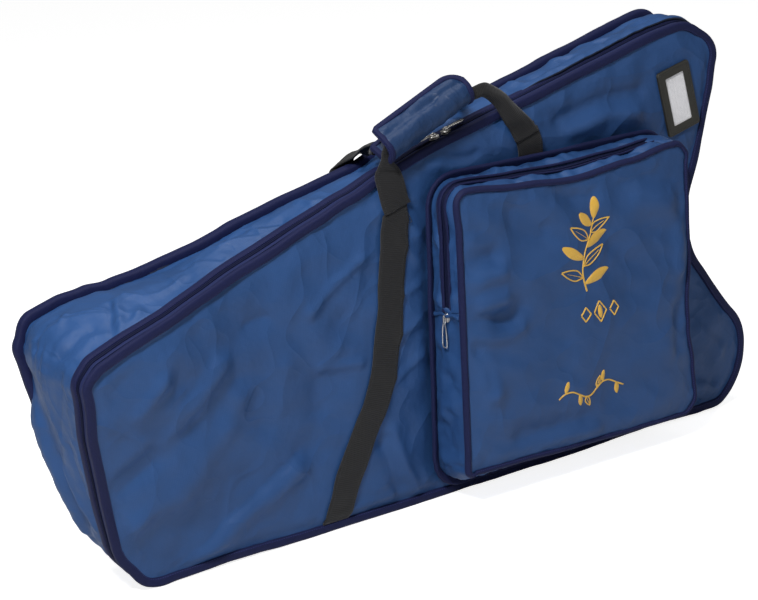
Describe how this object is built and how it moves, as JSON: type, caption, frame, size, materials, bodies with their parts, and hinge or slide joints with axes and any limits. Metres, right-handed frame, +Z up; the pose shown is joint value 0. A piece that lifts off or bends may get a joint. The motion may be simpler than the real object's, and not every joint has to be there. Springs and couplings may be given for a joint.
{
  "type": "harp cover",
  "caption": "Padded harp carrying cover with a zipped front panel, box pocket, webbing handle with padded wrap and label holder.",
  "frame": {"origin": "middle of the bounding box's floor, under the cover as it stands on its long edge", "axes": "+X along the length from the wide base end to the neck end, +Y from the pocket side to the back, +Z up"},
  "size_m": [1.0521, 0.2056, 0.5643],
  "materials": {
    "blue_fabric": "matt woven nylon over foam padding",
    "binding_tape": "ribbed binding tape",
    "black_webbing": "woven webbing",
    "zip_coil": "coil teeth on woven tape",
    "zip_metal": "bright plated",
    "label_plastic": "dark soft plastic",
    "label_window": "clear film",
    "card": "pale card"
  },
  "bodies": {
    "shell": {"back_panel": "blue_fabric", "back_binding": "binding_tape", "bottom_gusset": "blue_fabric", "neck_gusset": "blue_fabric", "top_gusset": "blue_fabric", "base_gusset": "blue_fabric", "zip_band": "binding_tape", "zip_teeth_rear": "zip_coil", "back_strap_left": "black_webbing", "back_strap_right": "black_webbing"},
    "front_flap": {"front_panel": "blue_fabric", "front_binding": "binding_tape", "zip_teeth_front": "zip_coil", "front_strap_left": "black_webbing", "front_strap_right": "black_webbing", "label_back": "label_plastic", "label_film": "label_window", "label_frame": "label_plastic", "pocket_wall": "blue_fabric", "pocket_base_binding": "binding_tape", "pocket_teeth_rear": "zip_coil", "pocket_teeth_front": "zip_coil", "pocket_front": "blue_fabric", "pocket_binding_front": "binding_tape"},
    "front_handle": {"handle_loop_front": "black_webbing", "handle_wrap": "blue_fabric"},
    "back_handle": {"handle_loop_back": "black_webbing"},
    "zip_runner_base": {"zip_slider_base": "zip_metal"},
    "zip_tab_base": {"zip_pull_base": "zip_metal"},
    "zip_runner_neck": {"zip_slider_neck": "zip_metal"},
    "zip_tab_neck": {"zip_pull_neck": "zip_metal"},
    "pocket_flap": {"pocket_corner": "blue_fabric", "pocket_teeth_corner": "zip_coil", "pocket_binding_corner": "binding_tape"},
    "pocket_runner": {"pocket_slider": "zip_metal"},
    "pocket_tab": {"pocket_pull": "zip_metal"},
    "name_card": {"label_card": "card"}
  },
  "joints": [
    {"name": "front_flap_fold", "type": "hinge", "parent": "shell", "child": "front_flap", "pos_m": [0, -0.0262, 0.0055], "axis": [1, 0, 0], "range_deg": [0, 110]},
    {"name": "front_handle_swing", "type": "hinge", "parent": "front_flap", "child": "front_handle", "pos_m": [-0.06808, -0.042, 0.39592], "axis": [0.9495, 0, 0.3136], "range_deg": [0, 95]},
    {"name": "back_handle_swing", "type": "hinge", "parent": "shell", "child": "back_handle", "pos_m": [-0.06808, 0.0676, 0.39592], "axis": [-0.9495, 0, -0.3136], "range_deg": [0, 165]},
    {"name": "zip_base_slide", "type": "slide", "parent": "shell", "child": "zip_runner_base", "axis": [-0.9719, 0, -0.2354], "range_m": [0, 0.12]},
    {"name": "zip_base_pull", "type": "hinge", "parent": "zip_runner_base", "child": "zip_tab_base", "pos_m": [0.01156, -0.02325, 0.47119], "axis": [0, 1, 0], "range_deg": [0, 120]},
    {"name": "zip_neck_slide", "type": "slide", "parent": "shell", "child": "zip_runner_neck", "axis": [0.9719, 0, 0.2354], "range_m": [0, 0.37]},
    {"name": "zip_neck_pull", "type": "hinge", "parent": "zip_runner_neck", "child": "zip_tab_neck", "pos_m": [0.03002, -0.02325, 0.47566], "axis": [0, -1, 0], "range_deg": [0, 120]},
    {"name": "pocket_corner_fold", "type": "hinge", "parent": "front_flap", "child": "pocket_flap", "pos_m": [-0.01316, -0.1028, 0.26155], "axis": [0.9186, 0, 0.3952], "range_deg": [0, 60]},
    {"name": "pocket_zip_slide", "type": "slide", "parent": "front_flap", "child": "pocket_runner", "axis": [0, 0, 1], "range_m": [0, 0.1]},
    {"name": "pocket_zip_pull", "type": "hinge", "parent": "pocket_runner", "child": "pocket_tab", "pos_m": [-0.01851, -0.06434, 0.25171], "axis": [0, 1, 0], "range_deg": [0, 120]},
    {"name": "label_card_slide", "type": "slide", "parent": "front_flap", "child": "name_card", "axis": [-0.2377, 0, 0.9713], "range_m": [0, 0.03]}
  ]
}
